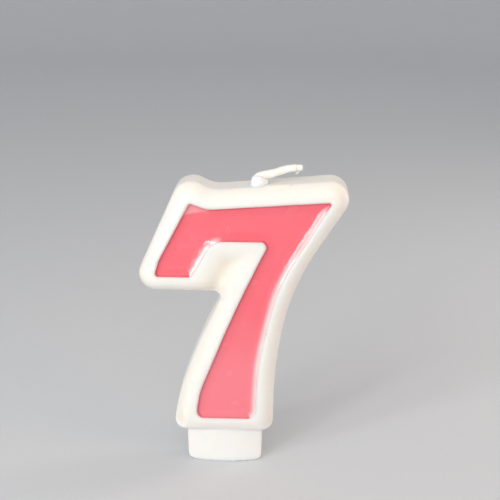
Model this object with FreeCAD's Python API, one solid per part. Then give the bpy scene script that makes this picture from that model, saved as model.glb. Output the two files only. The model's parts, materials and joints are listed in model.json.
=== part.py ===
import FreeCAD, Part
import math
import os

# Number birthday candle, figure 7: a cast white wax figure on a foot, with a coloured wax
# pour in its face and a bent wick on its top edge. Millimetres. The origin is at the centre
# of the foot's flat bottom, +Z is up, the decorated face looks towards -Y.

Vector = FreeCAD.Vector

# ---- driving dimensions -------------------------------------------------------------------
body_thickness = 12.0        # front crest to flat back
shoulder_height = 9.9        # underside of the figure, where the foot starts
crown_radius = 4.2           # rounding of the front edge
back_edge_radius = 0.7

recess_depth = 2.8           # pocket for the coloured wax
recess_draft = 1.2           # how much smaller the pocket is at its floor
rim_width = 0.25             # thickness of the colour at the lip, where it creeps up
dish_depth = 1.15            # colour surface below the crest
dish_wall = 1.75             # width of the sloping rim of the colour
smallest_radius = 0.3

foot_half_width_top = 11.2
foot_half_width_bottom = 10.8
foot_corner_radius = 1.7
foot_half_depth = 4.5        # at the middle of its bowed faces
foot_half_depth_edge = 2.7   # at its two ends
foot_overlap = 3.0           # how far the foot runs up into the figure

wick_x = 9.4                 # the wick stands here on the top edge, at mid thickness
wick_radius = 0.8            # cotton strand
coat_radius = 1.1            # strand with its wax coat
bend_z = 86.3                # centre of the wick's bend
wick_corner = (17.6, 0, 88.95)   # where the exposed wick levels off
wick_end = (21.4, 0, 88.95)
wick_arc_radius = 10.0
bend_clearance = 0.05
wick_bottom_z = 3.0          # the buried end, inside the foot
bead_base_radius = 2.4
bead_top_radius = 1.55
bead_base_z = 83.2
bare_end = 1.6               # cotton left bare at the free end

front_y = -body_thickness / 2
back_y = body_thickness / 2

# ---- outlines: corner x, corner z, corner radius, clockwise as seen from the front --------
figure_corners = [
    (-11.6, 87.3, 5.4),      # upper left lobe
    (-3.1, 83.05, 8.5),      # dip beside it
    (39.1, 86.85, 5.2),      # upper right lobe
    (18.55, 54.7, 71.0),     # long hollow of the right side
    (14.25, 28.1, 130.0),
    (14.2, shoulder_height, 3.2),
    (-15.25, shoulder_height, 3.0),
    (-13.3, 21.6, 60.0),     # left side of the stem
    (-7.6, 37.5, 150.0),
    (-0.05, 53.5, 2.0),      # notch under the arm
    (-26.8, 53.6, 5.0),      # lower left lobe
]

colour_corners = [
    (-9.3, 80.0, 0.5),       # upper left point
    (-4.2, 78.3, 7.0),
    (29.5, 80.7, 0.5),       # upper right point
    (15.25, 56.6, 50.0),     # long hollow of the right side
    (9.2, 31.4, 95.0),
    (9.1, 15.15, 2.4),
    (-8.05, 15.15, 2.0),
    (-7.2, 22.5, 28.0),      # left side of the stem
    (3.1, 49.2, 380.0),
    (12.85, 69.4, 1.7),      # inner corner
    (-3.05, 69.4, 5.5),      # hollow under the arm
    (-9.2, 58.77, 0.9),
    (-19.35, 58.8, 0.9),     # lower left corner of the arm
    (-18.0, 63.3, 6.0),
]


def neighbours(corners, index):
    """The unit directions into and out of a corner."""
    here = Vector(corners[index][0], 0, corners[index][1])
    before = corners[index - 1]
    after = corners[(index + 1) % len(corners)]
    into = (here - Vector(before[0], 0, before[1])).normalize()
    out = (Vector(after[0], 0, after[1]) - here).normalize()
    return here, into, out


def is_convex(into, out):
    return into.x * out.z - into.z * out.x < 0


def inset(corners, distance):
    """The same outline moved inwards, corner by corner."""
    moved = []
    for index, (_, _, radius) in enumerate(corners):
        here, into, out = neighbours(corners, index)
        side_in = Vector(into.z, 0, -into.x)
        side_out = Vector(out.z, 0, -out.x)
        shift = (side_in + side_out) * (distance / (1 + side_in.dot(side_out)))
        change = -distance if is_convex(into, out) else distance
        there = here + shift
        moved.append((there.x, there.z, max(radius + change, smallest_radius)))
    return moved


def outline_wire(corners, y):
    """Straight runs joined by tangent arcs, in the plane at y."""
    starts, ends, middles = [], [], []
    for index, (_, _, radius) in enumerate(corners):
        here, into, out = neighbours(corners, index)
        half_turn = into.getAngle(out) / 2
        reach = radius * math.tan(half_turn)
        inward = (out - into).normalize()
        starts.append(here - into * reach)
        ends.append(here + out * reach)
        middles.append(here + inward * (radius / math.cos(half_turn) - radius))
    lift = Vector(0, y, 0)
    edges = []
    for index in range(len(corners)):
        following = (index + 1) % len(corners)
        arc = Part.Arc(starts[index] + lift, middles[index] + lift, ends[index] + lift)
        edges.append(arc.toShape())
        edges.append(Part.LineSegment(ends[index] + lift, starts[following] + lift).toShape())
    return Part.Wire(edges)


def prism(corners, y_from, y_to):
    face = Part.Face(outline_wire(corners, y_from))
    return face.extrude(Vector(0, y_to - y_from, 0))


def tapered(corners, y_from, inset_from, y_to, inset_to):
    wires = [
        outline_wire(inset(corners, inset_from), y_from),
        outline_wire(inset(corners, inset_to), y_to),
    ]
    return Part.makeLoft(wires, True, True)


def export(shape, name):
    shape.exportStep(os.path.join("parts", name + ".step"))


# ---- cast wax figure with its foot --------------------------------------------------------
def make_figure():
    slab = prism(figure_corners, front_y, back_y)
    front_edges = [e for e in slab.Edges if e.BoundBox.YMax < front_y + 0.01]
    rounded = slab.makeFillet(crown_radius, front_edges)
    back_edges = [e for e in rounded.Edges if e.BoundBox.YMin > back_y - 0.01]
    return rounded.makeFillet(back_edge_radius, back_edges)


def make_foot():
    top = shoulder_height + foot_overlap
    front_view = prism(
        [
            (-foot_half_width_top, top, smallest_radius),
            (foot_half_width_top, top, smallest_radius),
            (foot_half_width_bottom, 0, foot_corner_radius),
            (-foot_half_width_bottom, 0, foot_corner_radius),
        ],
        -body_thickness,
        body_thickness,
    )
    ends = foot_half_width_top
    corner_fl = Vector(-ends, -foot_half_depth_edge, 0)
    corner_fr = Vector(ends, -foot_half_depth_edge, 0)
    corner_br = Vector(ends, foot_half_depth_edge, 0)
    corner_bl = Vector(-ends, foot_half_depth_edge, 0)
    plan = Part.Wire([
        Part.Arc(corner_fl, Vector(0, -foot_half_depth, 0), corner_fr).toShape(),
        Part.LineSegment(corner_fr, corner_br).toShape(),
        Part.Arc(corner_br, Vector(0, foot_half_depth, 0), corner_bl).toShape(),
        Part.LineSegment(corner_bl, corner_fl).toShape(),
    ])
    tang = Part.Face(plan).extrude(Vector(0, 0, top))
    upright = [e for e in tang.Edges if e.BoundBox.ZLength > top / 2]
    tang = tang.makeFillet(1.2, upright)
    return tang.common(front_view)


def make_recess():
    return tapered(colour_corners, front_y, 0, front_y + recess_depth, recess_draft)


def make_wick_bore():
    return Part.makeCylinder(
        wick_radius, bend_z - wick_bottom_z, Vector(wick_x, 0, wick_bottom_z)
    )


def make_wax_body():
    solid = make_figure().fuse(make_foot())
    solid = solid.cut(make_recess()).cut(make_wick_bore())
    return solid.removeSplitter().Solids[0]


# ---- coloured wax poured into the recess --------------------------------------------------
def make_colour_pour():
    dish = tapered(
        colour_corners, front_y, rim_width, front_y + dish_depth, rim_width + dish_wall
    )
    return make_recess().cut(dish)


# ---- wick ---------------------------------------------------------------------------------
def make_wick_core():
    height = bend_z - coat_radius - bend_clearance - wick_bottom_z
    return Part.makeCylinder(wick_radius, height, Vector(wick_x, 0, wick_bottom_z))


def make_wick_bead(body):
    top = bend_z - coat_radius - bend_clearance
    cone = Part.makeCone(
        bead_base_radius, bead_top_radius, top - bead_base_z, Vector(wick_x, 0, bead_base_z)
    )
    rim = [e for e in cone.Edges if abs(e.CenterOfMass.z - top) < 0.01]
    return cone.makeFillet(0.45, rim).cut(body).cut(make_wick_bore())


def wick_path(end_trim):
    """Centre line of the exposed wick: a rising run, an arc, and a level run to its end."""
    start = Vector(wick_x, 0, bend_z)
    corner = Vector(*wick_corner)
    end = Vector(*wick_end)
    into = (corner - start).normalize()
    out = (end - corner).normalize()
    half_turn = into.getAngle(out) / 2
    reach = wick_arc_radius * math.tan(half_turn)
    sagitta = wick_arc_radius / math.cos(half_turn) - wick_arc_radius
    arc_start = corner - into * reach
    arc_end = corner + out * reach
    arc_middle = corner + (out - into).normalize() * sagitta
    return Part.Wire([
        Part.LineSegment(start, arc_start).toShape(),
        Part.Arc(arc_start, arc_middle, arc_end).toShape(),
        Part.LineSegment(arc_end, end - out * end_trim).toShape(),
    ])


def round_ended_bar(radius, end_trim):
    """A bar along the exposed wick, with half a ball about the bend at its root."""
    start = Vector(wick_x, 0, bend_z)
    along = (Vector(*wick_corner) - start).normalize()
    ring = Part.Wire(Part.Circle(start, along, radius).toShape())
    bar = wick_path(end_trim).makePipeShell([ring], True, False)
    root = Part.makeSphere(radius, start, along, -90, 0, 360)
    return bar.fuse(root).removeSplitter()


def make_wick_strand():
    return round_ended_bar(wick_radius, 0)


def make_wick_coat(strand):
    return round_ended_bar(coat_radius, bare_end).cut(strand)


os.makedirs("parts", exist_ok=True)
wax_body = make_wax_body()
wick_strand = make_wick_strand()
shapes = {
    "wax_body": wax_body,
    "colour_pour": make_colour_pour(),
    "wick_core": make_wick_core(),
    "wick_bead": make_wick_bead(wax_body),
    "wick_strand": wick_strand,
    "wick_coat": make_wick_coat(wick_strand),
}
for name, shape in shapes.items():
    export(shape, name)
    box = shape.BoundBox
    print(
        name, shape.isValid(), len(shape.Solids), round(shape.Volume, 2),
        "x %.2f..%.2f y %.2f..%.2f z %.2f..%.2f"
        % (box.XMin, box.XMax, box.YMin, box.YMax, box.ZMin, box.ZMax),
    )
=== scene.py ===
"""The looks of the number birthday candle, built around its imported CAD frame."""
import json
import math
import random

import bmesh
import bpy
import numpy as np
from mathutils import Matrix, Vector, noise
from mathutils.geometry import delaunay_2d_cdt


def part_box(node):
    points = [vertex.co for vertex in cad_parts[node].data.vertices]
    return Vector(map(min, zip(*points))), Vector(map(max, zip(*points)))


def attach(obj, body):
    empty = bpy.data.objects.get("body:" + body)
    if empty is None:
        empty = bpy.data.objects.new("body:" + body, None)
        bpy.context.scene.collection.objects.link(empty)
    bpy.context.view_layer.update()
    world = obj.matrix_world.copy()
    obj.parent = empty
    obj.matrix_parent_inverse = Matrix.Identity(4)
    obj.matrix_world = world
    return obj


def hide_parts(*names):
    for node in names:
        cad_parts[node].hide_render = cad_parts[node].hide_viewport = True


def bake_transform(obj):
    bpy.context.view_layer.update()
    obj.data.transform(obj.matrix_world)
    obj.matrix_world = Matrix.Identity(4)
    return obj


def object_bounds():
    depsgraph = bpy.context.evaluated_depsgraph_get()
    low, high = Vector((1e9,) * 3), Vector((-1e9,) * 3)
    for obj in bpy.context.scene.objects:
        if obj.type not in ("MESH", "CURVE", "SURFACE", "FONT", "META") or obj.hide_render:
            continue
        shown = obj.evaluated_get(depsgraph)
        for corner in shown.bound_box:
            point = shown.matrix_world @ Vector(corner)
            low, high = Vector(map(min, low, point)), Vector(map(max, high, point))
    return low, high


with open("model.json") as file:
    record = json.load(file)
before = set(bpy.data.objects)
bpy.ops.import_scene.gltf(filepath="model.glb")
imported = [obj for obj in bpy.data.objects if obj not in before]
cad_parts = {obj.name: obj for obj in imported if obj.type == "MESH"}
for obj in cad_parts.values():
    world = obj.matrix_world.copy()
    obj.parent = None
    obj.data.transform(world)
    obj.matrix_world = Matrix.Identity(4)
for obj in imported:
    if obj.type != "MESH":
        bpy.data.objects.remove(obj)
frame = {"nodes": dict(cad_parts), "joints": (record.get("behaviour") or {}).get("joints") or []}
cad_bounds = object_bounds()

MM = 0.001
POINTS_AT_ONCE = 4000          # batch size when many distances are worked out

# ---- camera: the direction, distance and lens of the main view ----------------------------
VIEW_AZIMUTH = math.radians(2.15)
VIEW_ELEVATION = math.radians(19.07)
VIEW_ROLL = math.radians(0.28)
VIEW_DISTANCE = 292.4 * MM
VIEW_AIM_FROM_CENTRE = (1.8 * MM, 6.0 * MM, 18.0 * MM)
LENS_MM = 73.44

# ---- cast wax figure ----------------------------------------------------------------------
BODY_VOXEL = 0.36 * MM
BODY_SMOOTHING = 5
ROLL_START = 1.0 * MM          # flat crest beside the colour, before the border falls away
ROLL_CURVATURE = 46.0          # per metre: how fast it falls away
ROLL_BLUR = 26                 # rounds of averaging, which soften where two falls meet
ROLL_FULL = 2.0 * MM           # the fall grows between these two distances from the colour
ROLL_NONE = 0.8 * MM
CREST_DEPTH = 1.0 * MM         # what lies this close to the crest is the front
SIDE_DEPTH = 4.5 * MM          # and what lies this far below it is the side
FOOT_BLEND = (4.0 * MM, 1.5 * MM)      # below the colour: where the foot ends, the figure starts
LIP_ROUNDING = 0.7 * MM
LIP_OFFSET = 0.1 * MM          # the rounding ends this far outside the line between the waxes
LIP_REACH = 1.2 * MM           # width of crest that the rounding replaces
BED_GAP = 0.40 * MM            # the casting stays this far under the colour's surface
BACK_HOLLOW = 0.22 * MM        # the open side of the mould sinks a little as the wax sets
BACK_BLUR = 60
LUMP_SIZES = (9.0 * MM, 2.6 * MM)
LUMP_HEIGHTS = (0.07 * MM, 0.018 * MM)
SURFACE_INSET = 0.01 * MM      # keeps the surface inside the CAD shape
SHADE_FALL_DEPTH = 1.2 * MM         # the painted shade is at its warmest where the border has fallen this far
CREST_HIGHLIGHT_REACH = (1.8 * MM, 0.6 * MM)       # painted highlight: whiter crest beside the colour's right edge
# painted pink glow: light scattered from the coloured wax onto the white beside the lip
PINK_GLOW_REACH = (0.9 * MM, 0.1 * MM)

# ---- coloured wax -------------------------------------------------------------------------
LIP_WANDER = 0.10 * MM         # unevenness of the line between the two waxes
LIP_WANDER_SIZE = 2.4 * MM
DISH_DEPTH = 1.15 * MM
DISH_WALL = 0.38 * MM          # steep walls at the left, top and bottom
EDGE_SHALLOW = 0.30            # how much less deep the colour is at their feet
EDGE_SHALLOW_REACH = 3.0 * MM
DISH_WALL_RIGHT = 2.8 * MM     # the long slope where the colour crept up
WALL_STARTS = 4.0 * MM         # it widens over this height below the upper right point
WALL_RIPPLE = 0.045 * MM       # unevenness of the slope, which breaks up its shine
WALL_RIPPLE_SIZE = 2.2 * MM
SURFACE_RIPPLE = 0.025 * MM
SURFACE_RIPPLE_SIZE = 8.0 * MM
LIP_SINK = 0.15 * MM
LIP_OVERLAP = 0.35 * MM        # how far the colour runs out under the white crest
SKIRT_DROP = 0.3 * MM
FACET_LOW = (-1.75 * MM, -3.1 * MM)    # ends of the painted lit facet under the upper left point, a pale patch where the wall catches the light
FACET_HIGH = (5.3 * MM, -1.85 * MM)
LIT_FACET_TINT = 0.30
FILM_AND_SHEEN_REACH = 1.8 * MM          # width of the paler colour on the right slope: partly a thin film, partly painted sheen where it faces the lamps
# painted shade along the colour's left, top and bottom edges
EDGE_SHADE_REACH = (0.1 * MM, 0.5 * MM)
EDGE_SHADE_TINT = 0.2
POUR_GRID = 0.34 * MM
POUR_RINGS = (0.12 * MM, 0.26 * MM, 0.42 * MM, 0.62 * MM)
POUR_BACK_START = 0.5 * MM
POUR_BACK_SLOPE = 2.3
POUR_BACK_DEPTH = 2.8 * MM

# ---- wick ---------------------------------------------------------------------------------
COAT_RADIUS = 1.08 * MM
COAT_TAPER = (1.17, 0.30)      # its relative radius at the root, and how much it loses
COAT_SEGMENTS = 40
COTTON_RADIUS = 0.76 * MM
COTTON_SEGMENTS = 32
COTTON_OVERLAP = 12            # steps that the cotton runs back into the coat
BARE_END = 1.5 * MM
BRAID_PITCH = 4.2 * MM
WICK_STEPS_PER_MM = 7
LOOSE_FIBRES = 26
TUFT_FIBRES = 40
FIBRE_SIDES = 5
BEAD_RADIUS = 2.25 * MM
BEAD_FLARE = 0.8 * MM
BEAD_RINGS = 26
BEAD_SEGMENTS = 60

# ---- studio -------------------------------------------------------------------------------
FLOOR_FLAT = 0.80              # metres: radius of the flat floor, of the bend, and the wall's top
FLOOR_BEND = 0.35
FLOOR_TOP = 1.25
FLOOR_SIDES = 96
FLOOR_BEND_STEPS = 12
LAMPS = [
    # name, place, size, power, colour, seen in reflections
    ("pane_left", (-0.385, -0.315, 0.23), (0.068, 0.38), 0.64, (1.0, 0.995, 0.97), True),
    ("pane_right", (-0.275, -0.42, 0.23), (0.068, 0.38), 0.64, (1.0, 0.995, 0.97), True),
    ("front", (-0.06, -0.50, 0.52), (0.60, 0.50), 0.84, (1.0, 0.98, 0.95), True),
    ("low", (-0.14, -0.60, 0.14), (0.50, 0.20), 0.48, (1.0, 0.98, 0.96), False),
    ("right", (0.46, -0.22, 0.26), (0.30, 0.36), 0.54, (1.0, 0.72, 0.52), False),
    ("rim", (0.36, 0.14, 0.16), (0.08, 0.30), 0.38, (1.0, 0.90, 0.80), True),
]
AIR_COLOUR = (1.0, 0.975, 0.945, 1)
AIR_STRENGTH = 0.72


# ---- small helpers ------------------------------------------------------------------------
def coordinates(mesh):
    flat = np.empty(len(mesh.vertices) * 3)
    mesh.vertices.foreach_get("co", flat)
    return flat.reshape(-1, 3)


def set_coordinates(mesh, points):
    mesh.vertices.foreach_set("co", np.ascontiguousarray(points).ravel())
    mesh.update()


def normals(mesh):
    flat = np.empty(len(mesh.vertices) * 3)
    mesh.vertices.foreach_get("normal", flat)
    return flat.reshape(-1, 3)


def smoothstep(low, high, value):
    t = np.clip((value - low) / (high - low), 0.0, 1.0)
    return t * t * (3.0 - 2.0 * t)


def noise_at(points, size, offset=0.0):
    """Smooth noise, from -1 to 1, with lumps of about the given size."""
    shift = Vector((offset, offset * 0.7, -offset))
    return np.array([noise.noise(Vector(p) / size + shift) for p in points])


def new_object(name, mesh):
    obj = bpy.data.objects.new(name, mesh)
    bpy.context.scene.collection.objects.link(obj)
    return obj


def mesh_object(name, points, faces):
    mesh = bpy.data.meshes.new(name)
    mesh.from_pydata([tuple(p) for p in points], [], faces)
    mesh.validate()
    mesh.update()
    return new_object(name, mesh)


def shade_smooth(obj):
    obj.data.polygons.foreach_set("use_smooth", [True] * len(obj.data.polygons))
    obj.data.update()


def apply_modifiers(obj):
    graph = bpy.context.evaluated_depsgraph_get()
    baked = bpy.data.meshes.new_from_object(obj.evaluated_get(graph))
    obj.modifiers.clear()
    old = obj.data
    obj.data = baked
    bpy.data.meshes.remove(old)


def outward(obj):
    """Faces of a closed mesh made to point outwards."""
    work = bmesh.new()
    work.from_mesh(obj.data)
    bmesh.ops.recalc_face_normals(work, faces=work.faces)
    work.to_mesh(obj.data)
    work.free()


def set_attribute(obj, name, values):
    layer = obj.data.attributes.new(name, "FLOAT", "POINT")
    layer.data.foreach_set("value", np.asarray(values, np.float32))


def finish_piece(obj, body, material, slot, *nodes):
    obj.data.materials.clear()
    obj.data.materials.append(material)
    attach(obj, body)
    if nodes:
        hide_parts(*nodes)


# ---- the lip of the coloured face, read from the CAD --------------------------------------
def lip_outline():
    """The outer edge of the colour where it meets the crest, as ordered (x, z) points."""
    work = bmesh.new()
    work.from_mesh(frame["nodes"]["colour_pour"].data)
    bmesh.ops.remove_doubles(work, verts=work.verts, dist=0.002 * MM)
    front = min(v.co.y for v in work.verts)
    flat = [f for f in work.faces if all(v.co.y < front + 0.01 * MM for v in f.verts)]
    among = set(flat)
    after = {}
    for face in flat:
        for loop in face.loops:
            if sum(f in among for f in loop.edge.link_faces) == 1:
                after.setdefault(loop.vert, []).append(loop.link_loop_next.vert)
    loops = []
    while after:
        start = next(iter(after))
        ring, here = [], start
        while here in after:
            ring.append((here.co.x, here.co.z))
            here = after.pop(here)[0]
        loops.append(np.array(ring))
    work.free()
    return max(loops, key=lambda ring: np.ptp(ring[:, 0]) + np.ptp(ring[:, 1]))


def distance_to_loop(points, loop):
    """Distance to a closed outline, positive inside it, and the way out at the nearest point."""
    starts = loop
    runs = np.roll(loop, -1, axis=0) - loop
    squares = (runs ** 2).sum(1)
    z0, z1 = starts[:, 1], starts[:, 1] + runs[:, 1]
    distances = np.empty(len(points))
    ways = np.empty((len(points), 2))
    inside = np.zeros(len(points), bool)
    for first in range(0, len(points), POINTS_AT_ONCE):
        batch = slice(first, first + POINTS_AT_ONCE)
        part = points[batch]
        gap = part[:, None, :] - starts[None]
        along = np.clip((gap * runs[None]).sum(2) / squares[None], 0.0, 1.0)
        apart = gap - along[..., None] * runs[None]
        lengths = np.sqrt((apart ** 2).sum(2))
        nearest = lengths.argmin(1)
        rows = np.arange(len(part))
        distances[batch] = lengths[rows, nearest]
        ways[batch] = apart[rows, nearest]
        crosses = (z0[None] > part[:, 1:]) != (z1[None] > part[:, 1:])
        with np.errstate(divide="ignore", invalid="ignore"):
            at = starts[None, :, 0] + (part[:, 1:] - z0[None]) * runs[None, :, 0] / runs[None, :, 1]
        inside[batch] = (crosses & (part[:, :1] < at)).sum(1) % 2 == 1
    sign = np.where(inside, 1.0, -1.0)
    ways *= -sign[:, None] / np.maximum(distances, 1e-9)[:, None]
    return distances * sign, ways


# ---- materials ----------------------------------------------------------------------------
class Nodes:
    """A short way to write a material's nodes."""

    def __init__(self, name):
        self.material = bpy.data.materials.new(name)
        self.material.use_nodes = True
        self.tree = self.material.node_tree
        self.shader = self.tree.nodes["Principled BSDF"]

    def add(self, kind, inputs=(), **settings):
        node = self.tree.nodes.new(kind)
        for key, value in settings.items():
            setattr(node, key, value)
        for key, value in dict(inputs).items():
            self.give(node.inputs[key], value)
        return node

    def give(self, socket, value):
        if isinstance(value, bpy.types.NodeSocket):
            self.tree.links.new(value, socket)
        else:
            socket.default_value = value

    def set(self, **values):
        for key, value in values.items():
            self.give(self.shader.inputs[key.replace("_", " ")], value)

    def place(self):
        return self.add("ShaderNodeTexCoord").outputs["Object"]

    def noise(self, scale, detail=2.0, roughness=0.5, distortion=0.0):
        inputs = {
            "Vector": self.place(),
            "Scale": scale,
            "Detail": detail,
            "Roughness": roughness,
            "Distortion": distortion,
        }
        return self.add("ShaderNodeTexNoise", inputs).outputs["Fac"]

    def ramp(self, value, low, high, to_low=0.0, to_high=1.0):
        inputs = {
            "Value": value,
            "From Min": low,
            "From Max": high,
            "To Min": to_low,
            "To Max": to_high,
        }
        return self.add("ShaderNodeMapRange", inputs).outputs["Result"]

    def mix(self, factor, first, second, blend="MIX"):
        node = self.add("ShaderNodeMix", data_type="RGBA", blend_type=blend)
        self.give(node.inputs["Factor"], factor)
        self.give(node.inputs[6], first)
        self.give(node.inputs[7], second)
        return node.outputs[2]

    def math(self, operation, first, second=0.0):
        node = self.add("ShaderNodeMath", operation=operation)
        self.give(node.inputs[0], first)
        self.give(node.inputs[1], second)
        return node.outputs[0]

    def attribute(self, name):
        node = self.add("ShaderNodeAttribute", attribute_name=name)
        return node.outputs["Fac"]

    def bump(self, height, strength, distance, below=None):
        node = self.add("ShaderNodeBump", {"Strength": strength, "Distance": distance})
        self.give(node.inputs["Height"], height)
        if below is not None:
            self.give(node.inputs["Normal"], below)
        return node.outputs["Normal"]


def white_wax():
    wax = Nodes("white_wax")
    broad = wax.noise(95.0, 3.0, 0.55)
    cloud = wax.noise(420.0, 4.0, 0.6, 0.4)
    grain = wax.noise(2600.0, 3.0, 0.6)
    tone = wax.mix(wax.ramp(broad, 0.3, 0.7), (0.94, 0.915, 0.88, 1), (0.955, 0.945, 0.92, 1))
    # creamier where the border falls away: partly the wax's own warm tone, partly painted shade
    tone = wax.mix(wax.attribute("cream_and_shade"), tone, (0.93, 0.855, 0.765, 1))
    tone = wax.mix(wax.ramp(cloud, 0.35, 0.8, 0.0, 0.3), tone, (0.91, 0.865, 0.80, 1))
    cells = wax.add("ShaderNodeTexVoronoi", {"Vector": wax.place(), "Scale": 150.0})
    pits = wax.ramp(cells.outputs["Distance"], 0.05, 0.075, 1.0, 0.0)
    kept = wax.add("ShaderNodeSeparateXYZ", {"Vector": cells.outputs["Color"]}).outputs["X"]
    pits = wax.math("MULTIPLY", pits, wax.math("GREATER_THAN", kept, 0.72))
    tone = wax.mix(wax.math("MULTIPLY", pits, 0.35), tone, (0.66, 0.56, 0.47, 1))
    # painted pink glow from the coloured wax beside the lip
    tone = wax.mix(wax.attribute("painted_pink_glow"), tone, (0.96, 0.62, 0.60, 1))
    bumps = wax.bump(pits, 0.6, -0.25 * MM)
    bumps = wax.bump(cloud, 0.10, 0.20 * MM, bumps)
    bumps = wax.bump(grain, 0.10, 0.03 * MM, bumps)
    wax.set(
        Base_Color=tone,
        Roughness=wax.ramp(cloud, 0.3, 0.7, 0.30, 0.42),
        IOR=1.44,
        Subsurface_Weight=0.6,
        Subsurface_Radius=(1.0, 0.55, 0.35),
        Subsurface_Scale=2.6 * MM,
        Coat_Weight=0.18,
        Coat_Roughness=0.12,
        Normal=bumps,
    )
    return wax.material


def pink_wax():
    wax = Nodes("coloured_wax")
    broad = wax.noise(60.0, 1.0)
    cloud = wax.noise(170.0, 1.0)
    grain = wax.noise(1900.0, 1.0)
    height = wax.add("ShaderNodeSeparateXYZ", {"Vector": wax.place()}).outputs["Z"]
    level = wax.math("ADD", height, wax.ramp(broad, 0.2, 0.8, -8 * MM, 8 * MM))
    level = wax.ramp(level, 30 * MM, 52 * MM)
    tone = wax.mix(level, (0.95, 0.215, 0.268, 1), (0.945, 0.140, 0.185, 1))
    tone = wax.mix(wax.ramp(cloud, 0.0, 1.0, 0.0, 0.12), tone, (0.96, 0.27, 0.30, 1))
    # paler: partly a thin film, partly painted sheen on the walls that face the lamps, and a
    # painted lit facet
    tone = wax.mix(wax.attribute("film_and_painted_sheen"), tone, (0.965, 0.78, 0.765, 1))
    # painted shade along the edges that face away from the lamps
    tone = wax.mix(wax.attribute("painted_edge_shade"), tone, (0.86, 0.09, 0.125, 1))
    bumps = wax.bump(grain, 0.05, 0.03 * MM)
    wax.set(
        Base_Color=tone,
        Roughness=wax.ramp(cloud, 0.0, 1.0, 0.18, 0.32),
        IOR=1.44,
        Subsurface_Weight=0.25,
        Subsurface_Radius=(1.0, 0.30, 0.30),
        Subsurface_Scale=1.4 * MM,
        Coat_Weight=1.0,
        Coat_Roughness=0.06,
        Normal=bumps,
    )
    return wax.material


def cotton():
    yarn = Nodes("cotton_wick")
    fibre = yarn.noise(3800.0, 3.0, 0.65)
    dirt = yarn.noise(600.0, 2.0, 0.5)
    tone = yarn.mix(yarn.ramp(fibre, 0.3, 0.7), (0.90, 0.88, 0.83, 1), (0.97, 0.965, 0.94, 1))
    tone = yarn.mix(yarn.ramp(dirt, 0.5, 0.8, 0.0, 0.25), tone, (0.86, 0.82, 0.74, 1))
    yarn.set(
        Base_Color=tone,
        Roughness=yarn.ramp(fibre, 0.3, 0.7, 0.7, 0.9),
        Sheen_Weight=0.3,
        Normal=yarn.bump(fibre, 0.4, 0.08 * MM),
    )
    return yarn.material


def wick_wax():
    wax = Nodes("wick_wax")
    cloud = wax.noise(900.0, 3.0, 0.6, 0.5)
    grain = wax.noise(4200.0, 2.0, 0.5)
    tone = wax.mix(wax.ramp(cloud, 0.35, 0.7), (0.90, 0.885, 0.83, 1), (0.965, 0.96, 0.93, 1))
    bumps = wax.bump(cloud, 0.25, 0.15 * MM)
    bumps = wax.bump(grain, 0.15, 0.03 * MM, bumps)
    wax.set(
        Base_Color=tone,
        Roughness=wax.ramp(cloud, 0.3, 0.7, 0.28, 0.45),
        IOR=1.44,
        Subsurface_Weight=0.35,
        Subsurface_Radius=(1.0, 0.7, 0.5),
        Subsurface_Scale=0.8 * MM,
        Coat_Weight=0.2,
        Coat_Roughness=0.15,
        Normal=bumps,
    )
    return wax.material


# ---- cast wax figure ----------------------------------------------------------------------
def wandering(lip):
    """The lip with the slight unevenness of a hand-poured edge."""
    ahead = np.roll(lip, -1, axis=0) - np.roll(lip, 1, axis=0)
    out = np.c_[ahead[:, 1], -ahead[:, 0]] / np.hypot(*ahead.T)[:, None]
    place = np.c_[lip[:, 0], np.zeros(len(lip)), lip[:, 1]]
    return lip + out * (noise_at(place, LIP_WANDER_SIZE, 11.0) * LIP_WANDER)[:, None]


def dish_below_crest(distance, way, below_top):
    """How deep the colour's surface lies, by distance from the lip and the side it is on."""
    faces_left = smoothstep(0.0, 0.55, way[:, 0]) * smoothstep(0.3 * MM, WALL_STARTS, below_top)
    wall = DISH_WALL + (DISH_WALL_RIGHT - DISH_WALL) * faces_left
    reach = np.clip(distance / wall, 0.0, 1.0)
    power = 2.0 - 0.4 * faces_left
    shallow = EDGE_SHALLOW * (1.0 - faces_left) * smoothstep(EDGE_SHALLOW_REACH, 0.0, distance)
    drop = (DISH_DEPTH - LIP_SINK) * (1.0 - (1.0 - reach) ** power) * (1.0 - shallow)
    return LIP_SINK + drop, faces_left


def blurred(mesh, values, rounds):
    """Values at a mesh's points, averaged with their neighbours again and again."""
    pairs = np.empty(len(mesh.edges) * 2, np.int32)
    mesh.edges.foreach_get("vertices", pairs)
    pairs = pairs.reshape(-1, 2)
    count = np.bincount(pairs.ravel(), minlength=len(values))
    for _ in range(rounds):
        total = np.bincount(pairs[:, 0], values[pairs[:, 1]], len(values))
        total += np.bincount(pairs[:, 1], values[pairs[:, 0]], len(values))
        values = 0.5 * values + 0.5 * total / np.maximum(count, 1)
    return values


def remeshed_casting():
    """The CAD casting as an even mesh with softened edges."""
    mesh = frame["nodes"]["wax_body"].data.copy()
    mesh.materials.clear()
    body = new_object("wax_figure", mesh)
    remesh = body.modifiers.new("remesh", "REMESH")
    remesh.mode = "VOXEL"
    remesh.voxel_size = BODY_VOXEL
    soften = body.modifiers.new("soften", "SMOOTH")
    soften.factor = 0.5
    soften.iterations = BODY_SMOOTHING
    apply_modifiers(body)
    return body


def shape_lip(points, distance, way, front, lip):
    """Rounds the crest's inner edge, and beds the casting under the colour's surface."""
    crest_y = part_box("wax_body")[0].y
    on_crest = (points[:, 1] < crest_y + 0.9 * MM) & (distance > -LIP_REACH)
    turn = np.clip(distance + LIP_ROUNDING - LIP_OFFSET, 0.0, LIP_ROUNDING)
    rounded = crest_y + LIP_ROUNDING - np.sqrt(LIP_ROUNDING ** 2 - turn ** 2)
    inside = distance > 0.08 * MM
    below_top = lip[:, 1].max() - points[:, 2]
    bed = crest_y + dish_below_crest(distance, way, below_top)[0] + BED_GAP
    points[:, 1] = np.where(on_crest & ~inside, rounded, points[:, 1])
    points[:, 1] = np.where(inside & (front > 0), np.maximum(points[:, 1], bed), points[:, 1])


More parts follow.
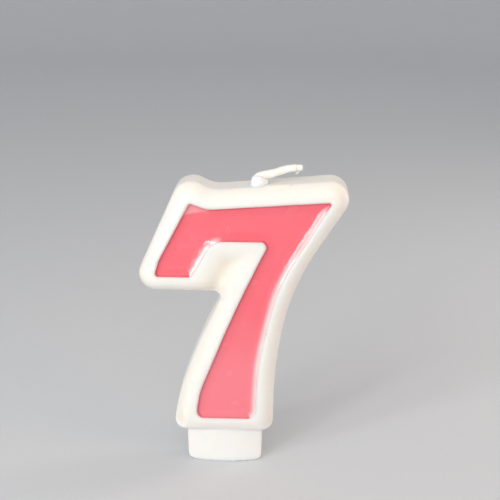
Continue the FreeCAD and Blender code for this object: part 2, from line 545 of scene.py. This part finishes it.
def shape_surface(body, points):
    """Sinks the open back a little and gives the wax its lumps, all inside the CAD shape."""
    low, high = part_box("wax_body")
    lumps = noise_at(points, LUMP_SIZES[0]) * LUMP_HEIGHTS[0]
    lumps += noise_at(points, LUMP_SIZES[1], 5.0) * LUMP_HEIGHTS[1]
    back = smoothstep(high.y - 0.5 * MM, high.y - 0.1 * MM, points[:, 1])
    hollow = blurred(body.data, back * (normals(body.data)[:, 1] > 0.9), BACK_BLUR)
    points[:, 1] -= BACK_HOLLOW * smoothstep(0.55, 1.0, hollow) * back
    rests = smoothstep(low.z + 0.2 * MM, low.z + 2.0 * MM, points[:, 2])
    inwards = np.minimum(lumps, 0.0) - SURFACE_INSET
    points += normals(body.data) * (inwards * rests)[:, None]
    set_coordinates(body.data, np.clip(points, np.array(low), np.array(high)))


def make_wax_body(lip, material):
    """The CAD casting with softened edges, a rolled border and the unevenness of cast wax."""
    body = remeshed_casting()
    crest_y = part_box("wax_body")[0].y
    colour_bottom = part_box("colour_pour")[0].z
    points = coordinates(body.data)
    distance, way = distance_to_loop(points[:, [0, 2]], lip)
    front = smoothstep(crest_y + SIDE_DEPTH, crest_y + CREST_DEPTH, points[:, 1])
    foot_top, figure_bottom = (colour_bottom - below for below in FOOT_BLEND)
    above_foot = smoothstep(foot_top, figure_bottom, points[:, 2])
    beside = np.maximum(-distance - ROLL_START, 0.0)
    fall = blurred(body.data, ROLL_CURVATURE * beside ** 2, ROLL_BLUR)

    shape_lip(points, distance, way, front, lip)
    points[:, 1] += fall * front * above_foot * smoothstep(-ROLL_NONE, -ROLL_FULL, distance)
    set_coordinates(body.data, points)
    shape_surface(body, points)

    # painted highlight: the crest beside the colour's right edge is kept free of the cream tint
    painted_crest_highlight = smoothstep(-CREST_HIGHLIGHT_REACH[0], -CREST_HIGHLIGHT_REACH[1], distance) * smoothstep(0.0, 0.5, way[:, 0])
    # the wax's own warm tone, plus painted shade that grows where the border falls away from the
    # lamps
    cream_and_shade = 0.20 + 0.15 * front + 0.65 * front * smoothstep(0.0, SHADE_FALL_DEPTH, fall)
    set_attribute(body, "cream_and_shade", above_foot * cream_and_shade * (1.0 - painted_crest_highlight))
    # painted pink glow on the white, close to the lip
    near_lip = smoothstep(-PINK_GLOW_REACH[0], PINK_GLOW_REACH[1], distance) * front
    set_attribute(body, "painted_pink_glow", 0.5 * near_lip)
    shade_smooth(body)
    finish_piece(body, "candle", material, "white_wax", "wax_body")


# ---- coloured wax -------------------------------------------------------------------------
def pour_plan(lip):
    """The colour's outline filled with triangles: flat (x, z) points and faces."""
    low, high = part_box("colour_pour")
    runs = np.roll(lip, -1, axis=0) - lip
    edge = []
    for start, run in zip(lip, runs):
        count = max(1, int(round(np.hypot(*run) / POUR_GRID)))
        edge += [start + run * step / count for step in range(count)]
    edge = np.array(edge)
    row = POUR_GRID * math.sqrt(0.75)
    grid = np.array([
        (low.x + (i + 0.5 * (j % 2)) * POUR_GRID, low.z + j * row)
        for j in range(int((high.z - low.z) / row) + 2)
        for i in range(int((high.x - low.x) / POUR_GRID) + 2)
    ])
    grid = grid[distance_to_loop(grid, lip)[0] > POUR_RINGS[-1] + 0.6 * POUR_GRID]
    ahead = np.roll(edge, -1, axis=0) - np.roll(edge, 1, axis=0)
    inwards = np.c_[-ahead[:, 1], ahead[:, 0]] / np.hypot(*ahead.T)[:, None]
    if distance_to_loop(edge[:1] + inwards[:1] * 0.1 * MM, lip)[0] < 0:
        inwards = -inwards
    rings = []
    for depth in POUR_RINGS:
        ring = edge + inwards * depth
        rings.append(ring[distance_to_loop(ring, lip)[0] > 0.97 * depth])
    flat = np.vstack([edge, *rings, grid])
    border = list(range(len(edge)))
    found = delaunay_2d_cdt([Vector(p) for p in flat], [], [border], 1, 1e-9)
    return np.array([tuple(p) for p in found[0]]), found[2]


def rim_of(faces):
    """The directed edges that only one face has."""
    edges = {(a, b) for face in faces for a, b in zip(face, face[1:] + face[:1])}
    return [(a, b) for a, b in edges if (b, a) not in edges]


def turn_rim_outwards(way, flat, rim):
    """Gives the points of the rim, which lie on the lip, their way out."""
    way[[a for a, _ in rim]] = 0.0
    for a, b in rim:
        across = flat[b] - flat[a]
        out = np.array([across[1], -across[0]]) / np.hypot(*across)
        way[a] += out / 2
        way[b] += out / 2


def pour_tints(lip, flat, place, distance, faces_left):
    """Where the colour is paler, partly as a thin film and partly as painted sheen and a painted
    lit facet; and painted shade along the edges that face away from the lamps.
    """
    streak = 0.5 + 0.5 * noise_at(place, 5.0 * MM, 9.0)
    # paler where the colour is a thin film, and painted sheen where its walls face the lamps
    thin = faces_left * (1.0 - smoothstep(0.0, FILM_AND_SHEEN_REACH, distance)) * (0.75 + 0.4 * streak)
    # painted lit facet: a pale patch under the upper left point where the wall catches the light
    tip = lip[np.argmax(0.8 * lip[:, 1] - lip[:, 0])]
    low_end, high_end = tip + np.array(FACET_LOW), tip + np.array(FACET_HIGH)
    side = (high_end - low_end) / np.hypot(*(high_end - low_end))
    above = (flat[:, 1] - low_end[1]) * side[0] - (flat[:, 0] - low_end[0]) * side[1]
    lit_facet = smoothstep(-0.15 * MM, 0.3 * MM, above) * (flat[:, 0] < high_end[0])
    thin = np.maximum(thin, LIT_FACET_TINT * lit_facet)
    # painted shade along the edges that face away from the lamps
    edge_shade = (1.0 - faces_left) * (1.0 - smoothstep(*EDGE_SHADE_REACH, distance)) * EDGE_SHADE_TINT
    return {"film_and_painted_sheen": np.clip(thin, 0.0, 1.0), "painted_edge_shade": np.clip(edge_shade, 0.0, 1.0)}


def make_colour_pour(lip, material):
    """A closed shape filling the recess, dished in front, meeting the lip all round."""
    crest_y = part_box("colour_pour")[0].y
    flat, faces = pour_plan(lip)
    rim = rim_of(faces)
    starts = [a for a, _ in rim]
    distance, way = distance_to_loop(flat, lip)
    distance = np.maximum(distance, 0.0)
    turn_rim_outwards(way, flat, rim)

    dish, faces_left = dish_below_crest(distance, way, lip[:, 1].max() - flat[:, 1])
    place = np.c_[flat[:, 0], np.zeros(len(flat)), flat[:, 1]]
    ripple = noise_at(place, SURFACE_RIPPLE_SIZE, 3.0) * SURFACE_RIPPLE
    on_wall = smoothstep(0.1 * MM, 0.7 * MM, distance) * smoothstep(3.0 * MM, 1.6 * MM, distance)
    front_y = crest_y + dish + ripple * smoothstep(0.3 * MM, 2.0 * MM, distance)
    front_y += noise_at(place, WALL_RIPPLE_SIZE, 21.0) * WALL_RIPPLE * faces_left * on_wall
    back = LIP_SINK + POUR_BACK_START + distance * POUR_BACK_SLOPE
    back_y = np.maximum(crest_y + np.minimum(back, POUR_BACK_DEPTH), front_y + 0.1 * MM)

    under = flat[starts] + way[starts] * LIP_OVERLAP
    points = np.vstack([
        np.c_[flat[:, 0], front_y, flat[:, 1]],
        np.c_[flat[:, 0], back_y, flat[:, 1]],
        np.c_[under[:, 0], np.full(len(rim), crest_y + LIP_SINK + SKIRT_DROP), under[:, 1]],
    ])
    count = len(flat)
    skirt_of = {a: 2 * count + number for number, a in enumerate(starts)}
    all_faces = [tuple(face) for face in faces]
    all_faces += [tuple(i + count for i in reversed(face)) for face in faces]
    for a, b in rim:
        all_faces.append((b, a, skirt_of[a], skirt_of[b]))
        all_faces.append((skirt_of[b], skirt_of[a], a + count, b + count))
    pour = mesh_object("colour_face", points, all_faces)
    outward(pour)

    for name, values in pour_tints(lip, flat, place, distance, faces_left).items():
        set_attribute(pour, name, np.concatenate([values, values, values[starts]]))
    shade_smooth(pour)
    finish_piece(pour, "candle", material, "coloured_wax", "colour_pour")


# ---- wick ---------------------------------------------------------------------------------
def wick_points():
    """The wick's centre line from inside the wax, over its bend, to its cut end."""
    pivot = Vector(frame["joints"][0]["pos_m"])
    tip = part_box("wick_strand")[1].x
    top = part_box("wick_coat")[1].z - 1.02 * MM
    run = tip - pivot.x
    rise = top - pivot.z
    return [
        pivot + Vector((-0.45 * MM, 0, -3.0 * MM)),
        pivot + Vector((-0.45 * MM, 0, -1.2 * MM)),
        pivot + Vector((-0.15 * MM, 0, -0.1 * MM)),
        pivot + Vector((0.075 * run, 0, 0.17 * rise)),
        pivot + Vector((0.30 * run, 0.08 * MM, 0.36 * rise)),
        pivot + Vector((0.525 * run, 0.05 * MM, 0.70 * rise)),
        pivot + Vector((0.70 * run, 0, 0.92 * rise)),
        pivot + Vector((0.83 * run, -0.05 * MM, rise)),
        Vector((tip, 0, top + 0.10 * MM)),
    ]


def smooth_line(points, step):
    """Evenly spaced points along a smooth curve through the given ones."""
    ends = [points[0] * 2 - points[1], *points, points[-1] * 2 - points[-2]]
    dense = []
    for index in range(1, len(ends) - 2):
        a, b, c, d = ends[index - 1:index + 3]
        for part in range(40):
            t = part / 40
            dense.append(0.5 * (
                2 * b + (c - a) * t + (2 * a - 5 * b + 4 * c - d) * t * t
                + (3 * b - a - 3 * c + d) * t * t * t
            ))
    dense.append(points[-1].copy())
    lengths = np.concatenate([[0], np.cumsum([(q - p).length for p, q in zip(dense, dense[1:])])])
    count = max(4, int(lengths[-1] / step))
    wanted = np.linspace(0, lengths[-1], count)
    table = np.array([tuple(p) for p in dense])
    return np.c_[[np.interp(wanted, lengths, table[:, k]) for k in range(3)]].T, wanted


def tube_faces(base, rings, segments):
    """The sides and the two ends of a tube whose rings of points start at base."""
    faces = []
    for ring in range(rings - 1):
        for k in range(segments):
            a = base + ring * segments + k
            b = base + ring * segments + (k + 1) % segments
            faces.append((a, b, b + segments, a + segments))
    last = base + (rings - 1) * segments
    faces.append(tuple(base + k for k in range(segments))[::-1])
    faces.append(tuple(last + k for k in range(segments)))
    return faces


def sweep(name, line, radius_at, segments):
    """A closed tube along a line in a vertical plane; radius_at(step, angle) is its surface."""
    points = []
    count = len(line)
    for step in range(count):
        before = line[max(step - 1, 0)]
        after = line[min(step + 1, count - 1)]
        along = Vector(after - before).normalized()
        side = Vector((0, 1, 0))
        across = along.cross(side).normalized()
        side = across.cross(along).normalized()
        centre = Vector(line[step])
        for k in range(segments):
            angle = 2 * math.pi * k / segments
            radius = radius_at(step, angle)
            points.append(centre + (side * math.cos(angle) + across * math.sin(angle)) * radius)
    obj = mesh_object(name, points, tube_faces(0, count, segments))
    outward(obj)
    shade_smooth(obj)
    return obj


def bend_with_wick(obj):
    """Bakes a piece's transform into its mesh; the piece is not bent."""
    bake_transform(obj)


def braid(distance, angle, depth):
    """The raised strands of the braid, crossing both ways round the wick."""
    turn = 2 * math.pi * distance / BRAID_PITCH
    one = math.cos(2 * angle + turn)
    two = math.cos(2 * angle - turn)
    return depth * max(one, two)


def make_coat(line, along, length, material):
    """The wax coat: it follows the braid, and is ragged where it has cracked off."""

    def radius_at(step, angle):
        here = along[step]
        lump = noise.noise(Vector((here / (2.2 * MM), math.cos(angle), math.sin(angle))))
        taper = COAT_TAPER[0] - COAT_TAPER[1] * here / length
        radius = COAT_RADIUS * taper * (1 + 0.05 * lump) + braid(here, angle, 0.045 * MM)
        left = along[len(line) - 1] - here
        ragged = 0.5 + 0.5 * noise.noise(Vector((math.cos(angle) * 1.7, math.sin(angle) * 1.7, 4)))
        edge = min(1.0, max(0.0, left / (0.25 * MM + 0.5 * MM * ragged)))
        return radius * (0.80 + 0.20 * math.sqrt(edge))

    coat = sweep("wick_coat_skin", line, radius_at, COAT_SEGMENTS)
    coat.data.materials.append(material)
    bend_with_wick(coat)
    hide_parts("wick_coat")


def make_cotton_end(line, along, length, material):
    """The cotton under the coat, seen at the cut end."""

    def radius_at(step, angle):
        here = along[step]
        left = length - here
        radius = COTTON_RADIUS + braid(here, angle, 0.07 * MM)
        lump = noise.noise(Vector((here / (0.5 * MM), math.cos(angle) * 2, math.sin(angle) * 2)))
        close = math.sqrt(min(1.0, max(0.02, left / (0.35 * MM))))
        return (radius + 0.05 * MM * lump) * (0.45 + 0.55 * close)

    end = sweep("wick_cotton_end", line, radius_at, COTTON_SEGMENTS)
    finish_piece(end, "wick_tip", material, "cotton_wick", "wick_strand")


def make_wick(coat_material, cotton_material):
    line, along = smooth_line(wick_points(), 1.0 * MM / WICK_STEPS_PER_MM)
    length = along[-1]
    coat_steps = int(len(line) * (1 - BARE_END / length))
    make_coat(line[:coat_steps], along, length, coat_material)
    first = max(0, coat_steps - COTTON_OVERLAP)
    make_cotton_end(line[first:], along[first:], length, cotton_material)
    make_fibres(line, cotton_material)


def fibre_lines(line, draw):
    """Loose cotton fibres round the cut end, then the tuft that hangs back under it."""
    tip, inner = Vector(line[-1]), Vector(line[-10])
    along = (tip - inner).normalized()
    strands = []
    for _ in range(LOOSE_FIBRES):
        angle = draw.uniform(0, 2 * math.pi)
        reach = draw.uniform(0.1, 0.6) * MM
        side = Vector((0, math.cos(angle), math.sin(angle)))
        start = tip - along * draw.uniform(0.2, 0.9) * MM + side * draw.uniform(0.2, 0.6) * MM
        end = start + along * draw.uniform(0.1, 0.55) * MM + side * reach * 0.6
        strands.append([start, (start + end) / 2 + side * 0.08 * MM, end])
    root = tip + Vector((-1.1, 0, -0.45)) * MM
    for _ in range(TUFT_FIBRES):
        wander = Vector([draw.uniform(-1, 1) for _ in range(3)])
        start = root + wander * 0.30 * MM
        middle = root + Vector((-0.15, 0, -0.85)) * MM + wander * 0.20 * MM
        end = root + Vector((-0.85, 0, -1.35)) * MM * draw.uniform(0.7, 1.0) + wander * 0.12 * MM
        strands.append([start, middle, end])
    return strands


def make_fibres(line, material):
    """Every fibre as a thin tapering tube, all in one piece."""
    draw = random.Random(7)
    points, faces = [], []
    for strand in fibre_lines(line, draw):
        path, _ = smooth_line(strand, 0.22 * MM)
        thick = draw.uniform(0.035, 0.06) * MM
        base = len(points)
        for step, centre in enumerate(path):
            ahead = Vector(path[min(step + 1, len(path) - 1)] - path[max(step - 1, 0)]).normalized()
            across = ahead.cross(Vector((0.3, 0.9, 0.2))).normalized()
            other = ahead.cross(across)
            radius = thick * (1.0 - 0.5 * step / len(path))
            for k in range(FIBRE_SIDES):
                angle = 2 * math.pi * k / FIBRE_SIDES
                spoke = across * math.cos(angle) + other * math.sin(angle)
                points.append(Vector(centre) + spoke * radius)
        faces += tube_faces(base, len(path), FIBRE_SIDES)
    fibres = mesh_object("wick_fibres", points, faces)
    outward(fibres)
    shade_smooth(fibres)
    finish_piece(fibres, "wick_tip", material, "cotton_wick")


def make_bead(material):
    """The wax that wells up round the wick, steep at the left and sloping under the strand."""
    pivot = Vector(frame["joints"][0]["pos_m"])
    base_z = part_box("wick_bead")[0].z - 0.3 * MM
    middle = pivot.x + 0.35 * MM
    points = []
    for ring in range(BEAD_RINGS):
        t = ring / (BEAD_RINGS - 1)
        swell = (1.0 - t ** 6) ** (1 / 2.6)
        for k in range(BEAD_SEGMENTS):
            angle = 2 * math.pi * k / BEAD_SEGMENTS
            lump = noise.noise(Vector((math.cos(angle) * 1.2, math.sin(angle) * 1.2, t * 1.6)))
            flare = BEAD_FLARE * max(0.0, 1 - 2.6 * t) ** 2
            radius = (BEAD_RADIUS + 0.20 * MM * lump) * max(swell, 0.03) + flare
            x = radius * 1.06 * math.cos(angle)
            slope = -0.34 * x if x > 0 else 0.08 * x
            top = pivot.z + 0.85 * MM + slope - base_z
            points.append((middle + x, radius * 0.92 * math.sin(angle), base_z + t * top))
    bead = mesh_object("wick_root_bead", points, tube_faces(0, BEAD_RINGS, BEAD_SEGMENTS))
    outward(bead)
    smooth = bead.modifiers.new("smooth", "SMOOTH")
    smooth.iterations = 4
    apply_modifiers(bead)
    shade_smooth(bead)
    finish_piece(bead, "candle", material, "white_wax", "wick_bead")


# ---- floor, light and camera --------------------------------------------------------------
def make_stage():
    """A round pale floor that curves up into a wall all round."""
    profile = [(0.2, 0.0), (0.5, 0.0), (FLOOR_FLAT, 0.0)]
    for step in range(1, FLOOR_BEND_STEPS + 1):
        angle = math.pi / 2 * step / FLOOR_BEND_STEPS
        reach = FLOOR_FLAT + FLOOR_BEND * math.sin(angle)
        profile.append((reach, FLOOR_BEND - FLOOR_BEND * math.cos(angle)))
    profile.append((FLOOR_FLAT + FLOOR_BEND, FLOOR_TOP))
    points = [(0.0, 0.0, 0.0)]
    for reach, z in profile:
        for k in range(FLOOR_SIDES):
            angle = 2 * math.pi * k / FLOOR_SIDES
            points.append((reach * math.cos(angle), reach * math.sin(angle), z))
    faces = [(0, 1 + k, 1 + (k + 1) % FLOOR_SIDES) for k in range(FLOOR_SIDES)]
    for ring in range(len(profile) - 1):
        for k in range(FLOOR_SIDES):
            a = 1 + ring * FLOOR_SIDES + k
            b = 1 + ring * FLOOR_SIDES + (k + 1) % FLOOR_SIDES
            faces.append((a, a + FLOOR_SIDES, b + FLOOR_SIDES, b))
    floor = mesh_object("studio_floor", points, faces)
    shade_smooth(floor)
    paper = Nodes("studio_paper")
    speckle = paper.noise(900.0, 3.0)
    tone = paper.mix(speckle, (0.62, 0.64, 0.67, 1), (0.66, 0.68, 0.71, 1))
    paper.set(Base_Color=tone, Roughness=0.9)
    floor.data.materials.append(paper.material)


def area_light(name, place, aim, size, power, colour, glossy):
    data = bpy.data.lights.new(name, "AREA")
    data.shape = "RECTANGLE"
    data.size, data.size_y = size
    data.energy = power
    data.color = colour
    lamp = bpy.data.objects.new(name, data)
    lamp.visible_camera = False
    lamp.visible_glossy = glossy
    bpy.context.scene.collection.objects.link(lamp)
    lamp.location = place
    direction = Vector(aim) - Vector(place)
    lamp.rotation_euler = direction.to_track_quat("-Z", "Y").to_euler()


def make_lights():
    low, high = cad_bounds
    aim = (Vector(low) + Vector(high)) / 2
    for name, place, size, power, colour, glossy in LAMPS:
        area_light(name, place, aim, size, power, colour, glossy)
    world = bpy.data.worlds.new("studio_air")
    world.use_nodes = True
    air = world.node_tree.nodes["Background"]
    air.inputs["Color"].default_value = AIR_COLOUR
    air.inputs["Strength"].default_value = AIR_STRENGTH
    bpy.context.scene.world = world


def make_camera():
    low, high = cad_bounds
    aim = (Vector(low) + Vector(high)) / 2 + Vector(VIEW_AIM_FROM_CENTRE)
    back = Vector((
        math.sin(VIEW_AZIMUTH) * math.cos(VIEW_ELEVATION),
        -math.cos(VIEW_AZIMUTH) * math.cos(VIEW_ELEVATION),
        math.sin(VIEW_ELEVATION),
    ))
    right = Vector((math.cos(VIEW_AZIMUTH), math.sin(VIEW_AZIMUTH), 0.0))
    up = back.cross(right)
    turned_right = right * math.cos(VIEW_ROLL) + up * math.sin(VIEW_ROLL)
    turned_up = up * math.cos(VIEW_ROLL) - right * math.sin(VIEW_ROLL)
    data = bpy.data.cameras.new("camera")
    data.lens = LENS_MM
    data.sensor_width = 36.0
    data.clip_start = 0.01
    camera = bpy.data.objects.new("camera", data)
    bpy.context.scene.collection.objects.link(camera)
    axes = Matrix((turned_right, turned_up, back)).transposed().to_4x4()
    camera.matrix_world = Matrix.Translation(aim + back * VIEW_DISTANCE) @ axes
    bpy.context.scene.camera = camera


make_camera()
make_stage()
make_lights()
bpy.context.scene.view_settings.view_transform = "Standard"

lip = wandering(lip_outline())
wax = white_wax()
cotton_yarn = cotton()
make_wax_body(lip, wax)
make_colour_pour(lip, pink_wax())
make_bead(wax)
make_wick(wick_wax(), cotton_yarn)
core = frame["nodes"]["wick_core"]
core.data.materials.clear()
core.data.materials.append(cotton_yarn)
